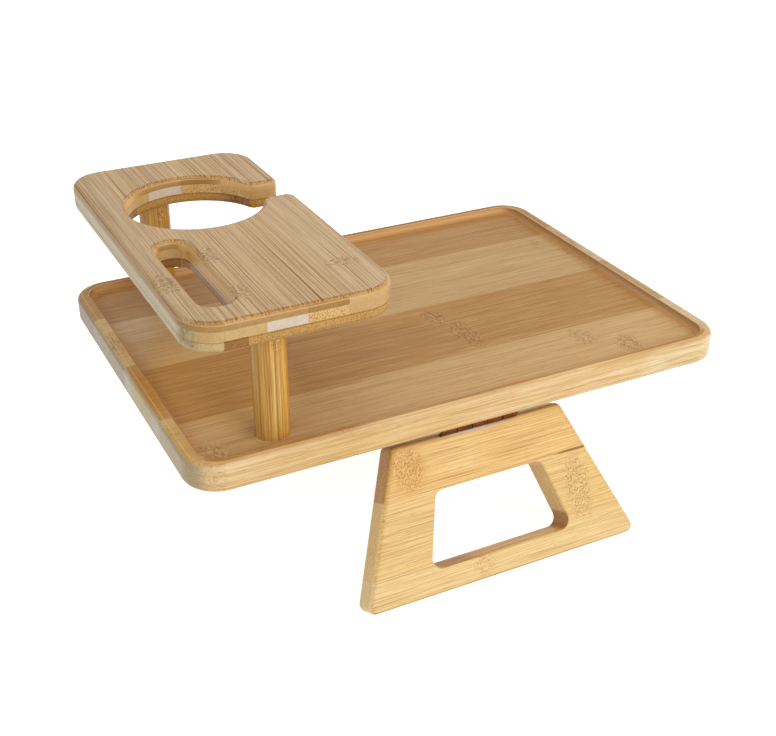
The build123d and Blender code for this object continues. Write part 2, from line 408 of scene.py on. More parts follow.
@dataclass(frozen=True)
class Fibres:
    """How strongly the fibres show.

    Pitches are widths and reaches are lengths, in millimetres. Streaks and veins are broad,
    threads and dashes fine, and the dark lines have their own levels and tint, as the fine
    lines of half their length have. depth_share is how fast all of it changes through the
    thickness, as a share of across, and sway is how far it wanders.
    """

    line_pitch: float = 1.2
    line_reach: float = 170.0
    line_strength: float = 0.35
    line_edge: Pair = (0.56, 0.66)
    fine_pitch: float = 0.60
    fine_strength: float = 0.25
    thread_pitch: float = 0.55
    thread_reach: float = 34.0
    thread_strength: float = 0.30
    dash_pitch: float = 0.50
    dash_reach: float = 5.0
    streak_pitch: float = 6.0
    streak_reach: float = 160.0
    streak_strength: float = 0.40
    veins: float = 3.2
    vein_reach: float = 110.0
    depth_share: float = 0.35
    sway: float = 3.0
    colour: Colour = (0.56, 0.41, 0.25)


@dataclass(frozen=True)
class Spot:
    """The shaded place in a board's own directions, and the parts of its surface's normal."""

    places: tuple[Value, Value, Value]
    facing: tuple[Value, Value, Value]


@dataclass(frozen=True)
class Bamboo:
    """Varnished laminated bamboo, in millimetres.

    Attributes:
        strips: Its strips, from the lowest start up.
        span: Lowest and highest place across the board.
        turn: Angle about X, in degrees, that lays the board's own frame over the part's.
        pivot: The point that the turn goes about.
        side: Colour of the long sides, or none where they are as the faces.
        glue: Depths at which a thin dark glue line runs round.
        ripple: The noise of the node marks' ripples.
        seed: Offset that sets one board's pattern apart from another's.
    """

    name: str
    strips: tuple[Strip, ...]
    span: Pair
    grain: Grain = Grain.ALONG_X
    turn: float = 0.0
    pivot: Triple = (0.0, 0.0, 0.0)
    marks: tuple[NodeMark, ...] = ()
    patches: tuple[Patch, ...] = ()
    fibres: Fibres = Fibres()
    side: Colour | None = None
    openings: Openings | None = None
    glue: tuple[float, ...] = ()
    ripple: Noise = Noise((0.95, 0.28, 0.3), 1.5, 0.6)
    seed: float = 0.0
    roughness: float = 0.38

    def axes(self) -> list[Vector]:
        """The board's along, across and depth directions in the part's frame."""
        turn = Matrix.Rotation(math.radians(self.turn), 3, "X")
        return [turn @ Vector(axis) for axis in self.grain.value]

    def spot(self, graph: Graph) -> Spot:
        """The shaded place in the board's own frame.

        Args:
            graph: The material to add to.

        Returns:
            The place and the normal.
        """
        kind, dot = "ShaderNodeVectorMath", "DOT_PRODUCT"
        given = graph.node("ShaderNodeTexCoord", output="Object")
        normal = given.output("Normal")
        pivot = tuple(value * MM for value in self.pivot)
        moved = graph.node(kind, {0: given, 1: pivot}, operation="SUBTRACT")
        axes = self.axes()
        places = (graph.node(kind, {0: moved, 1: tuple(axis / MM)}, 1, operation=dot) for axis in axes)
        facing = (graph.node(kind, {0: normal, 1: tuple(axis)}, 1, operation=dot) for axis in axes)
        return Spot(tuple(places), tuple(facing))

    def by_strip(self, across: Value, part: str) -> Value:
        """One of the strips' colours at a place across the board, by a stepped ramp.

        Args:
            across: The place across the board.
            part: Which field of Strip to read.

        Returns:
            The colour, or for speckle a grey that serves as a number.
        """
        low, high = self.span
        stops = []
        for strip in self.strips:
            value = getattr(strip, part)
            colour = value if isinstance(value, tuple) else (value,) * 3
            stops.append(((strip.start - low) / (high - low), colour))
        sockets = {0: (across - low) * (1 / (high - low))}
        return across.graph.node("ShaderNodeValToRGB", sockets, stops=stops, ramp_interpolation="CONSTANT")

    def scars(self, places: Places) -> Value | None:
        """How much of a node mark lies at a place.

        Args:
            places: The place's three parts.

        Returns:
            0 outside, 1 in a mark's middle, ragged between; nothing on a board without marks.
        """
        if not self.marks:
            return None
        along, across = places[:2]
        ragged = (RAGGED.at(places, self.seed) - NOISE_MIDDLE) * RAGGED_REACH
        total = None
        for mark in self.marks:
            inside = (mark.distance(along, across, mark.bow) + ragged).between(*MARK_EDGE)
            half = mark.width / 2
            inside = inside * abs(across - mark.across).between(half + MARK_FADE, half) * mark.strength
            total = inside if total is None else total.maximum(inside)
        return total

    def strip_colour(self, spot: Spot) -> Value:
        """Colour of the strips and of the long sides, before the fibres.

        Args:
            spot: The shaded place.

        Returns:
            The colour.
        """
        along, across = spot.places[:2]
        colour = self.by_strip(across, "colour")
        if self.side is None:
            return colour
        side: Paint = self.side
        # Inside the openings the long sides take the walls' colour of painted light or shade.
        if self.openings is not None:
            inside = self.openings.holds(along, across)
            side = across.graph.blend(inside, side, self.openings.wall)
        return across.graph.blend(abs(spot.facing[1]).between(*FACES_SIDE), colour, side)

    def fibre_colour(self, base: Value, places: Places) -> tuple[Value, Value]:
        """Lay streaks, threads and dark lines over a colour.

        Args:
            base: The strips' colour.
            places: The along, across and depth places, swayed as the fibres are.

        Returns:
            The colour and how much of a dark line lies at each place.
        """
        look, graph = self.fibres, base.graph
        along, across, depth = places
        place = (along, across, depth * look.depth_share + self.seed)

        def band(reach: float, pitch: float, detail: float) -> Value:
            """Noise drawn out along the fibres, as long as its reach and as wide as its pitch."""
            return Noise((1 / reach, 1 / pitch, 1 / pitch), detail).at(place)

        streaks = band(look.streak_reach, look.streak_pitch, detail=3.0)
        veins = band(look.vein_reach, look.streak_pitch / look.veins, detail=2.0)
        threads = band(look.thread_reach, look.thread_pitch, detail=1.5)
        dashes = band(look.dash_reach, look.dash_pitch, detail=1.0)
        fine = band(look.line_reach / 2, look.fine_pitch, detail=1.0).between(*FINE_EDGE)
        lines = band(look.line_reach, look.line_pitch, detail=1.5).between(*look.line_edge)
        colour = STREAK.over(base, streaks, look.streak_strength)
        colour = VEIN.over(colour, veins, look.streak_strength)
        colour = DARK_THREAD.over(colour, threads, look.thread_strength)
        colour = PALE_THREAD.over(colour, threads, look.thread_strength)
        colour = DASH.over(colour, dashes, look.thread_strength)
        for share in (fine * look.fine_strength, lines * look.line_strength):
            colour = graph.blend(share, colour, look.colour, Blend.MULTIPLY)
        return colour, lines

    def cut_colour(self, places: Places) -> Value:
        """Colour of the fibres cut across: the strip's cut colour dotted with fibre bundles.

        Args:
            places: The place's three parts.

        Returns:
            The colour.
        """
        along, across, depth = places
        graph = along.graph
        cell = graph.node("ShaderNodeCombineXYZ", {0: along * BUNDLE_STRETCH, 1: across, 2: depth})
        sockets = {"Vector": cell, "Scale": BUNDLE_RATE, "Randomness": BUNDLE_SCATTER}
        bundles = graph.node("ShaderNodeTexVoronoi", sockets)
        colour = CLOUDED.over(self.by_strip(across, "cut"), CLOUD.at(places, self.seed))
        return BUNDLE.over(colour, bundles, self.by_strip(across, "speckle"))

    def mark_colour(self, colour: Value, scar: Value, places: Places) -> Value:
        """Lay the node marks' stain, ripples and specks over a colour.

        Args:
            colour: The colour so far.
            scar: How much of a node mark lies at each place.
            places: The place's three parts.

        Returns:
            The marked colour.
        """
        along, across, depth = places
        wander = WOBBLE.at(places, self.seed) * (WOBBLE_REACH / self.ripple.rates[0])
        ripples = self.ripple.at((along + wander, across, depth), self.seed)
        colour = colour.graph.blend(scar * STAIN_STRENGTH, colour, STAIN, Blend.MULTIPLY)
        colour = DARK_RIPPLE.over(colour, ripples, scar)
        colour = PALE_RIPPLE.over(colour, ripples, scar)
        return SPECK.over(colour, SPECKS.at(places, self.seed), scar)

    def joint_colour(self, colour: Value, spot: Spot) -> Value:
        """Lay the patches, the seams between strips and the glue lines over a colour.

        Args:
            colour: The colour so far.
            spot: The shaded place.

        Returns:
            The colour with them.
        """
        along, across, depth = spot.places
        wall = abs(spot.facing[2]).between(*UPRIGHT)
        shares = {Reach.ALL: 1.0, Reach.TOPS: spot.facing[2].between(*FACES_UP), Reach.WALLS: wall}
        for patch in self.patches:
            inside = patch.distance(along, across).between(*PATCH_EDGE) * shares[patch.reach]
            colour = colour.graph.blend(inside, colour, patch.tint, Blend.MULTIPLY)
        for strip in self.strips[1:]:
            colour = SEAM.over(colour, abs(across - strip.start))
        for level in self.glue:
            colour = GLUE_LINE.over(colour, abs(depth - level), wall)
        return colour

    def local_colour(self, colour: Value, spot: Spot) -> Value:
        """What one kind of board adds to its colour; nothing on a plain one."""
        return colour

    def build(self) -> Material:
        """Build the finish.

        Returns:
            The material.
        """
        graph = Graph.material(self.name)
        spot = self.spot(graph)
        along, across, depth = spot.places
        scar = self.scars(spot.places)
        sway = (SWAY.at(spot.places, self.seed) - NOISE_MIDDLE) * self.fibres.sway
        if scar is not None:
            sway = sway + (CURL.at(spot.places, self.seed) - NOISE_MIDDLE) * scar * CURL_REACH
        swayed = (along, across + sway, depth + sway)
        colour, lines = self.fibre_colour(self.strip_colour(spot), swayed)
        cut = abs(spot.facing[0]).between(*FACES_END) * CUT_SHARE
        colour = graph.blend(cut, colour, self.cut_colour(spot.places))
        if scar is not None:
            colour = self.mark_colour(colour, scar, spot.places)
        colour = self.local_colour(self.joint_colour(colour, spot), spot)
        height = (RIDGES.at(swayed) - lines) * RIDGE_SHARE
        roughness = self.roughness + lines * LINE_ROUGHNESS + height * RIDGE_ROUGHNESS
        sockets = {**VARNISH, "Base Color": colour, "Roughness": roughness}
        return graph.solid(sockets, height, RIDGE_RELIEF)


# A rim: its outer sides' streaks, read along, by depth and across, and its golden places.
OUTSIDE = (0.5, 2.0)
LONG_RIM = (-6.0, -2.0)
SIDE_STREAKS = Noise((0.022, 0.62, 0.02), 3.0, shift=5.0)
GOLD = Layer(0.50, 0.60, (0.88, 0.78, 0.58), 0.65)
CREAM = Layer(0.47, 0.38, (0.20, 0.17, 0.11), 0.45, Blend.SCREEN)
GOLDEN = Noise((0.016, 0.02, 0.0), 1.0, shift=3.0)
GOLDEN_EDGE = (0.38, 0.60)

# A veneer's rounded edge, by depth below its face and by the share of cut fibres in a side,
# its hatches, and the line where it is glued to the layer under it.
EDGE = (0.01, 0.10)
UPPER_EDGE = (0.85, 0.35)
CUT_SIDE = (0.25, 0.60)
LONG_SIDE_WARMTH = 0.2
NOT_ZERO = 0.001
HATCHES = Noise((0.5, 0.8, 0.3), 1.0)
HATCH = Layer(0.46, 0.56, (0.60, 0.45, 0.20), 0.75)
UPPER_TINT = (0.84, 0.72, 0.42)
UPPER_STRENGTH = 0.35
UNDER_SHIFT = 9.0
GLUE_FADE = 0.12
VENEER_LINE = Layer(0.36, 0.10, linear(212, 176, 124), 0.60, Blend.MIX)

# Metal: its rolling marks and its wear.
ROLLED = Noise((0.2, 6.0, 6.0), 3.0)
ROLLED_ROUGHNESS = 0.2
ROLLED_RELIEF = {"Strength": 0.2, "Distance": 0.05 * MM}
WEAR = Noise((0.25, 0.25, 0.25), 2.0)
WEAR_EDGE = (0.35, 0.7)
WEAR_STRENGTH = 0.6


@dataclass(frozen=True)
class Ring:
    """A band of painted shade or light round a recess, in millimetres from the recess's outline.

    Attributes:
        inner: Where it starts on the recess's side and where it is full, outer on the rim's.
        below: The same in depth below the board's top.
        on_long: How much of it shows on the long sides, and on_short on the short ones.
        golden: How much more of it shows where a long side is golden.
    """

    inner: Pair
    outer: Pair
    below: Pair
    tint: Colour
    on_long: float = 0.0
    on_short: float = 0.0
    golden: float = 0.0
    mode: Blend = Blend.MIX


@dataclass(frozen=True)
class RoutedBamboo(Bamboo):
    """Bamboo board with a routed recess, with shade and highlights painted round it.

    The rings are the rim's lip, painted shade; its ridge and inner edge, painted highlights; a
    line on the short sides, a painted highlight; the recess's wall, its own orange-brown tone
    with painted warm bounce light; and the foot of that wall, painted shade. Half sizes and
    radius are the recess's.
    """

    half_length: float = 167.0
    half_width: float = 119.0
    radius: float = 14.0
    top: float = 18.0
    painted_light_rings: tuple[Ring, ...] = (
        # The rim's lip: painted shade, darker where a long side is golden.
        Ring((-0.8, 0.0), (3.0, 1.8), (0.9, 0.2), (0.80, 0.57, 0.24), 0.52, golden=0.40,
             mode=Blend.MULTIPLY),
        # Its ridge: a painted highlight, fainter where a long side is golden.
        Ring((2.6, 3.2), (4.2, 3.6), (0.9, 0.2), linear(246, 220, 164), 0.60, golden=-0.45),
        # Its inner edge: a painted highlight, strongest on the short sides.
        Ring((-0.65, -0.30), (0.45, 0.10), (1.1, 0.3), linear(240, 210, 164), 0.30, 0.95),
        # A line on the short sides: a painted highlight on the rim's rounded edge.
        Ring((4.10, 4.45), (5.10, 4.75), (0.9, 0.2), linear(232, 202, 152), on_short=0.50),
        # The recess's wall: its own orange-brown tone with painted warm bounce light.
        Ring((-4.4, -2.4), (0.6, 0.1), (0.3, 1.0), linear(196, 140, 72), 0.65, 0.65),
        # The foot of the wall: painted shade on the floor beside it.
        Ring((-11.0, -4.5), (-1.0, -2.5), (12.0, 8.0), (0.88, 0.75, 0.52), 0.40, 0.40,
             mode=Blend.MULTIPLY),
    )

    def outline_distance(self, x: Value, y: Value) -> Value:
        """Distance from the recess's outline, a rectangle with round corners.

        Args:
            x: The place along the board, from its middle.
            y: The place across it.

        Returns:
            The distance in millimetres, positive on the rim.
        """
        beyond_x = abs(x) - (self.half_length - self.radius)
        beyond_y = abs(y) - (self.half_width - self.radius)
        outer_x = beyond_x.maximum(0.0)
        outer_y = beyond_y.maximum(0.0)
        inner = beyond_x.maximum(beyond_y).math("MINIMUM", 0.0)
        return (outer_x * outer_x + outer_y * outer_y).math("SQRT") + inner - self.radius

    def local_colour(self, colour: Value, spot: Spot) -> Value:
        """Streak the board's outer sides and paint each ring of shade and highlight round the recess.

        Args:
            colour: The colour so far.
            spot: The shaded place.

        Returns:
            The colour with them.
        """
        along, across, depth = spot.places
        distance = self.outline_distance(along, across)
        outside = (abs(spot.facing[1]) * distance.between(*OUTSIDE)).between(*FACES_SIDE)
        streaks = SIDE_STREAKS.at((along, depth, across), self.seed)
        colour = GOLD.over(colour, streaks, outside)
        colour = CREAM.over(colour, streaks, outside)
        on_long = (abs(across) - self.half_width).between(*LONG_RIM)
        on_short = 1.0 - on_long
        golden = GOLDEN.at(spot.places, self.seed).between(*GOLDEN_EDGE)
        below = self.top - depth
        # Each ring paints shade, a highlight or warm bounce light round the recess.
        for ring in self.painted_light_rings:
            band = distance.between(*ring.inner) * distance.between(*ring.outer)
            share = on_long * (ring.on_long + golden * ring.golden) + on_short * ring.on_short
            factor = band * below.between(*ring.below) * share
            colour = colour.graph.blend(factor, colour, ring.tint, ring.mode)
        return colour


@dataclass(frozen=True)
class VeneeredBamboo(Bamboo):
    """Top ply of a shelf: a thin face layer over a second layer, glued at a crisp line.

    Attributes:
        under: Strips of the second layer.
        glue_height: Height of the line between the two, in millimetres, as top is the face's.
        warm: Tint of the face layer's rounded edge.
    """

    under: tuple[Strip, ...] = ()
    glue_height: float = 95.4
    top: float = 97.2
    warm: Colour = (0.90, 0.77, 0.56)

    def local_colour(self, colour: Value, spot: Spot) -> Value:
        """Warm the rounded edge, show the second layer below the glue line, and draw the line.

        Args:
            colour: The colour so far.
            spot: The shaded place.

        Returns:
            The colour with them.
        """
        along, across, depth = spot.places
        cut, long = abs(spot.facing[0]), abs(spot.facing[1])
        blend = colour.graph.blend
        below_face = self.top - depth
        cut_share = cut.math("DIVIDE", cut + long + NOT_ZERO).between(*CUT_SIDE)
        warmth = LONG_SIDE_WARMTH + cut_share * (1.0 - LONG_SIDE_WARMTH)
        edge = below_face.between(*EDGE) * warmth
        colour = blend(edge, colour, self.warm, Blend.MULTIPLY)
        upper = edge * below_face.between(*UPPER_EDGE)
        colour = HATCH.over(colour, HATCHES.at(spot.places, self.seed), upper)
        colour = blend(upper * UPPER_STRENGTH, colour, UPPER_TINT, Blend.MULTIPLY)
        second = Bamboo(self.name, self.under, self.span, seed=self.seed + UNDER_SHIFT)
        under = second.cut_colour(spot.places)
        # The second layer's opening walls take their colour of painted light.
        if self.openings is not None:
            wall = long.between(*FACES_SIDE) * self.openings.holds(along, across)
            under = blend(wall, under, self.openings.wall)
        below_line = self.glue_height - depth
        colour = blend(below_line.between(0.0, GLUE_FADE), colour, under)
        return VENEER_LINE.over(colour, abs(below_line))


@dataclass(frozen=True)
class Metal:
    """Plated or polished metal with fine rolling marks along X."""

    name: str
    colour: Colour
    worn: Colour
    roughness: float = 0.35

    def build(self) -> Material:
        """Build the finish.

        Returns:
            The material.
        """
        graph = Graph.material(self.name)
        place = graph.node("ShaderNodeTexCoord", output="Object")
        parts = graph.node("ShaderNodeSeparateXYZ", {0: place})
        places = tuple(parts.output(axis) * (1 / MM) for axis in range(3))
        rolled = ROLLED.at(places)
        worn = WEAR.at(places).between(*WEAR_EDGE) * WEAR_STRENGTH
        roughness = self.roughness + (rolled - NOISE_MIDDLE) * ROLLED_ROUGHNESS
        colour = graph.blend(worn, self.colour, self.worn)
        sockets = {"Base Color": colour, "Metallic": 1.0, "Roughness": roughness}
        return graph.solid(sockets, rolled, ROLLED_RELIEF)


def dress(node: str, material: Material) -> None:
    """Give a CAD node a finish in place of its plain one.

    Args:
        node: The node's name.
        material: The finish.
    """
    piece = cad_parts[node]
    for place in piece.material_slots:
        place.material = material
    LOG.info("%s wears %s", node, material.name)


@dataclass
class TrayBoard:
    """Routed board of four wide strips, in millimetres: reach is half of its width."""

    strip_width: float = 68.0
    reach: float = 125.0
    speckle: float = 0.5

    def finish(self) -> RoutedBamboo:
        """The board's finish, its strips counted from the front.

        Returns:
            The finish.
        """
        width = self.strip_width
        tones = (
            (-self.reach, (214, 173, 117), (176, 161, 128)),
            (-width, (190, 142, 79), (192, 185, 165)),
            (0.0, (206, 168, 116), (160, 146, 116)),
            (width, (188, 143, 88), (152, 133, 108)),
        )
        return RoutedBamboo(
            name="tray_bamboo_varnished",
            strips=tuple(Strip(x, linear(*face), linear(*cut), self.speckle) for x, face, cut in tones),
            span=(-self.reach, self.reach),
            side=linear(228, 196, 146),
            marks=(
                NodeMark(27.2, -15.6, 16.0, 24.0, 0.9, bow=3.0),
                NodeMark(32.9, -45.9, 18.0, 42.0, 0.9, bow=-4.0),
                NodeMark(97.6, -81.3, 16.0, 26.0, 0.85, bow=2.0),
                NodeMark(118.2, -101.4, 18.0, 26.0, bow=-2.0),
                NodeMark(150.6, 54.0, 11.0, 20.0, 0.7, bow=2.0),
                NodeMark(166.0, 33.0, 12.0, 18.0, 0.8, bow=-2.0),
                NodeMark(-154.7, -102.9, 17.0, 26.0, 0.75, bow=2.0),
                NodeMark(-85.0, -117.0, 14.0, 16.0, 0.7),
                NodeMark(-171.3, 31.0, 10.0, 34.0, 0.8),
            ),
            patches=(
                Patch(-171.0, -34.0, 14.0, 70.0, (0.97, 0.84, 0.50)),
                # Painted light: the left rim's top lightened where the shelf shades it.
                Patch(-171.0, 0.0, 16.0, 300.0, (1.20, 1.25, 1.25), Reach.TOPS),
                Patch(171.0, -50.0, 16.0, 200.0, (1.08, 1.34, 1.85), Reach.TOPS),
                Patch(-171.0, -97.0, 16.0, 60.0, (0.90, 0.87, 0.68), Reach.TOPS),
                # Painted light: warm bounce light lightening the floor in the shelf's shade.
                Patch(-125.0, -30.0, 100.0, 140.0, (1.30, 1.29, 1.06), Reach.TOPS),
                Patch(-20.0, -35.0, 90.0, 60.0, (0.92, 0.90, 0.90), Reach.TOPS),
                Patch(-150.0, 62.0, 50.0, 56.0, (1.08, 1.18, 1.46), Reach.TOPS),
                Patch(-70.0, -125.0, 150.0, 14.0, (0.95, 0.92, 0.80), Reach.WALLS),
                Patch(150.0, -125.0, 90.0, 20.0, (1.02, 1.13, 1.26), Reach.WALLS),
            ),
            fibres=Fibres(
                line_strength=0.20, fine_pitch=0.50, fine_strength=0.26, thread_strength=0.44,
                streak_strength=0.24, depth_share=0.90,
            ),
        )

    def dress(self) -> None:
        """Finish the board."""
        dress("tray_board", self.finish().build())


@dataclass
class RaisedShelf:
    """Keyhole shelf of three plies, glued up from strips that run front to back.

    Attributes:
        centre: Place of the shelf's middle along X, in millimetres.
        half: Half of its length along X.
        seams: Where its strips meet, along X.
        bottom_seams: Where the bottom ply's strips meet, from the shelf's left end.
        lower_glue: Height of the joint between the middle and the bottom ply.
        opening_reach: Front and back of the box round the openings.
        opening_insets: Distances of that box from the shelf's ends.
        lit_upper_wall: Colour of the openings' long walls, lighter and more golden as painted light,
        and shaded_lower_wall in the bottom ply, dark brown as painted shade.
    """

    centre: float = -109.8
    half: float = 59.5
    seams: tuple[float, ...] = (-150.5, -128.0, -105.5, -82.0)
    bottom_seams: Pair = (18.0, 31.0)
    lower_glue: float = 86.1
    opening_reach: Pair = (-105.0, 112.0)
    opening_insets: Pair = (9.0, 1.2)
    # Painted light: the openings' walls lighter and more golden than the outer sides.
    lit_upper_wall: Colour = linear(224, 184, 118)
    # Painted shade: the bottom ply's opening walls dark brown.
    shaded_lower_wall: Colour = linear(152, 112, 58)

    def span(self) -> Pair:
        """Lowest and highest X of the shelf."""
        return self.centre - self.half, self.centre + self.half

    def openings(self, wall: Colour) -> Openings:
        """Box of the cup hole, its stem slot and the phone slot, inside the shelf's outline."""
        (low, high), (left, right) = self.span(), self.opening_insets
        return Openings(self.opening_reach, (low + left, high - right), wall)

    def strips(self, *looks: Sequence[Any]) -> tuple[Strip, ...]:
        """Strips at the seams from the left, with their colours, cut colours and speckles."""
        starts = (self.span()[0], *self.seams)
        return tuple(Strip(*parts) for parts in zip(starts, *looks))

    def top(self) -> VeneeredBamboo:
        """Finish of the top ply, with the layer under its face.

        Returns:
            The finish.
        """
        tones = ((201, 172, 131), (212, 181, 137), (209, 177, 133), (212, 180, 134), (213, 182, 140))
        warm = ((196, 152, 84), (205, 171, 103), (196, 156, 84), (177, 133, 65), (200, 168, 100))
        tones, warm = [[linear(*tone) for tone in row] for row in (tones, warm)]
        tan, brown, pale = linear(172, 134, 80), linear(160, 120, 64), linear(198, 162, 108)
        return VeneeredBamboo(
            name="shelf_top_bamboo_varnished",
            strips=self.strips(tones, warm, [0.6] * len(tones)),
            under=self.strips(tones, [tan, tan, tan, brown, pale], [0.3, 0.3, 0.3, 0.2, 0.1]),
            span=self.span(),
            grain=Grain.ALONG_Y,
            openings=self.openings(self.lit_upper_wall),
            marks=(
                NodeMark(-64.7, -162.5, 28.0, 15.0, bow=2.0),
                NodeMark(-38.1, -130.5, 28.0, 13.0, bow=-3.0),
                NodeMark(-90.0, -130.5, 22.0, 10.0, 0.8),
                NodeMark(-78.9, -67.8, 12.0, 24.0, bow=3.0),
            ),
            fibres=Fibres(
                line_pitch=0.66, line_reach=330.0, line_strength=0.74, line_edge=(0.58, 0.62),
                fine_pitch=0.46, fine_strength=0.62, thread_strength=0.34, streak_strength=0.12,
                sway=2.0, colour=(0.48, 0.36, 0.23),
            ),
            seed=40.0,
        )

    def core(self) -> Bamboo:
        """Finish of the middle ply, whose strips differ most.

        Returns:
            The finish.
        """
        light, white = linear(200, 166, 112), linear(208, 193, 174)
        gold, pale = linear(212, 174, 112), linear(196, 158, 102)
        cuts = [light, light, white, gold, pale]
        return Bamboo(
            name="shelf_core_bamboo_varnished",
            strips=self.strips(cuts, cuts, [0.15, 0.15, 0.05, 1.5, 0.15]),
            span=self.span(),
            grain=Grain.ALONG_Y,
            side=linear(190, 173, 130),
            openings=self.openings(self.lit_upper_wall),
            glue=(self.lower_glue,),
            seed=80.0,
        )

    def bottom(self) -> Bamboo:
        """Finish of the bottom ply, which is cream at its left end.

        Returns:
            The finish.
        """
        low = self.span()[0]
        starts = (low, *(low + seam for seam in self.bottom_seams))
        tones = (linear(204, 177, 124), linear(150, 108, 51), linear(188, 146, 80))
        speckles = (0.6, 0.9, 1.2)
        return Bamboo(
            name="shelf_bottom_bamboo_varnished",
            strips=tuple(Strip(*parts) for parts in zip(starts, tones, tones, speckles)),
            span=self.span(),
            grain=Grain.ALONG_Y,
            side=linear(188, 168, 125),
            openings=self.openings(self.shaded_lower_wall),
            glue=(self.lower_glue,),
            fibres=Fibres(line_strength=0.45, thread_strength=0.4),
            seed=60.0,
        )

    def dress(self) -> None:
        """Finish the three plies."""
        dress("shelf_top_ply", self.top().build())
        dress("shelf_core_ply", self.core().build())
        dress("shelf_bottom_ply", self.bottom().build())


@dataclass
class ShelfPosts:
    """Two turned posts with their wooden pins and steel screws, in millimetres.

    Attributes:
        layers: Each upright layer of a post: its start, as a share of the radius, and colour.
        pin_layers: The same for the pins.
        centre: Place of the posts' middle along X.
    """

    layers: Upright = (
        (-1.0, linear(214, 169, 89)),
        (-0.36, linear(221, 181, 102)),
        (-0.08, linear(196, 150, 74)),
        # This pale layer is partly the blank's own strip and partly a painted vertical highlight.
        (0.06, linear(220, 178, 96)),
        (0.36, linear(214, 162, 70)),
    )
    pin_layers: Upright = ((-1.0, linear(208, 172, 120)),)
    centre: float = -119.9
    radius: float = 9.85

    def turned(self, name: str, layers: Upright, seed: float) -> Bamboo:
        """Finish of a piece turned from a laminated blank.

        Args:
            name: The material's name.
            layers: The blank's layers.
            seed: The piece's own offset.

        Returns:
            The finish.
        """
        middle, radius = self.centre, self.radius
        return Bamboo(
            name=name,
            strips=tuple(Strip(middle + radius * share, tone, tone) for share, tone in layers),
            span=(middle - radius, middle + radius),
            grain=Grain.ALONG_Z,
            marks=(NodeMark(72.5, -118.5, 14.0, 7.0, 0.65),),
            fibres=Fibres(
                line_pitch=0.85, line_reach=220.0, line_strength=0.56, line_edge=(0.55, 0.61),
                fine_strength=0.55, thread_strength=0.38, streak_pitch=4.0, streak_strength=0.34,
                depth_share=1.0,
            ),
            seed=seed,
            roughness=0.35,
        )

    def dress(self, screw: Material) -> None:
        """Finish posts, pins and screws.

        Args:
            screw: Finish of the screws.
        """
        post = self.turned("post_bamboo_varnished", self.layers, seed=120.0).build()
        dress("post_front", post)
        dress("post_back", post)
        dress("post_dowels", self.turned("dowel_wood_bare", self.pin_layers, seed=160.0).build())
        dress("post_screws", screw)


class Side(Enum):
    """The tray's two long edges, with the sign of Y on each."""

    FRONT = -1
    BACK = 1


@dataclass
class FoldingLeg:
    """Trapezoid leg with a window, on a butt hinge, in millimetres.

    Attributes:
        splay: Angle of the leg from upright at rest, in degrees.
        pivot_reach: Distance of the hinge axis from the tray's middle, and pivot_drop below it.
        reach: How far the leg hangs below its axis.
        seams: Distances of the glue seams below the axis, the lower one first.
        window: Box round the leg's window, in its own frame, whose walls are lighter as painted light.
    """

    side: Side
    splay: float = 28.0
    pivot_reach: float = 118.5
    pivot_drop: float = 2.8
    reach: float = 92.0
    seams: Pair = (72.0, 31.0)
    # Painted light: the window's walls lighter and more golden than the leg's sides.
    window: Openings = Openings((-50.0, 50.0), (-77.0, -29.0), linear(246, 196, 104))
    ripple: Noise = Noise((1.25, 0.60, 0.3), 1.5, 0.6)

    def finish(self) -> Bamboo:
        """The leg's finish: three strips in the leg's own frame, from its foot up.

        Returns:
            The finish.
        """
        sign = self.side.value
        foot, waist = self.seams
        return Bamboo(
            name=self.side.name.lower() + "_leg_bamboo_varnished",
            strips=(
                Strip(-self.reach, linear(232, 199, 138), linear(250, 221, 163), 0.4),
                Strip(-foot, linear(230, 193, 126), linear(248, 213, 144), 0.6),
                Strip(-waist, linear(230, 189, 119), linear(206, 153, 77), 1.0),
            ),
            span=(-self.reach, 0.0),
            turn=90 + self.splay * sign,
            pivot=(0.0, sign * self.pivot_reach, -self.pivot_drop),
            marks=(
                NodeMark(-50.0, -15.5, 22.0, 29.0, 0.9),
                NodeMark(57.0, -54.0, 20.0, 45.0, 0.9),
                NodeMark(-14.8, -82.0, 15.0, 16.0, 0.6),
            ),
            patches=(
                Patch(60.0, -31.2, 36.0, 1.8, (0.40, 0.30, 0.20)),
                Patch(-50.0, -15.5, 30.0, 40.0, (0.97, 0.91, 0.80)),
                # Painted highlight: a thin pale grey strip along the leg's top edge under the hinge.
                Patch(0.0, -3.5, 54.0, 1.8, (0.86, 1.10, 2.50)),
                Patch(-36.0, -75.5, 44.0, 8.0, (0.68, 0.57, 0.36), Reach.WALLS),
                Patch(46.0, -72.0, 18.0, 14.0, (0.58, 0.46, 0.32), Reach.WALLS),
            ),
            fibres=Fibres(
                line_pitch=0.62, line_reach=110.0, line_strength=0.34, fine_pitch=0.5,
                fine_strength=0.46, thread_strength=0.44, streak_strength=0.12, sway=1.6,
            ),
            side=linear(196, 150, 84),
            openings=self.window,
            ripple=self.ripple,
            seed=200.0 + 30.0 * sign,
        )

    def dress(self, hinge: Material, pin: Material, screw: Material) -> None:
        """Finish the leg and its hinge.

        Args:
            hinge: Finish of both leaves.
            pin: Finish of the hinge pin.
            screw: Finish of the screws.
        """
        name = self.side.name.lower()
        dress(name + "_leg", self.finish().build())
        dress(name + "_hinge_pin", pin)
        for leaf in ("tray_leaf", "leg_leaf"):
            dress(f"{name}_hinge_{leaf}", hinge)
            dress(f"{name}_{leaf}_screws", screw)


@dataclass(frozen=True)
class SoftBox:
    """Square lamp, its place and size in metres and its power in watts."""

    name: str
    place: Triple
    size: float
    power: float


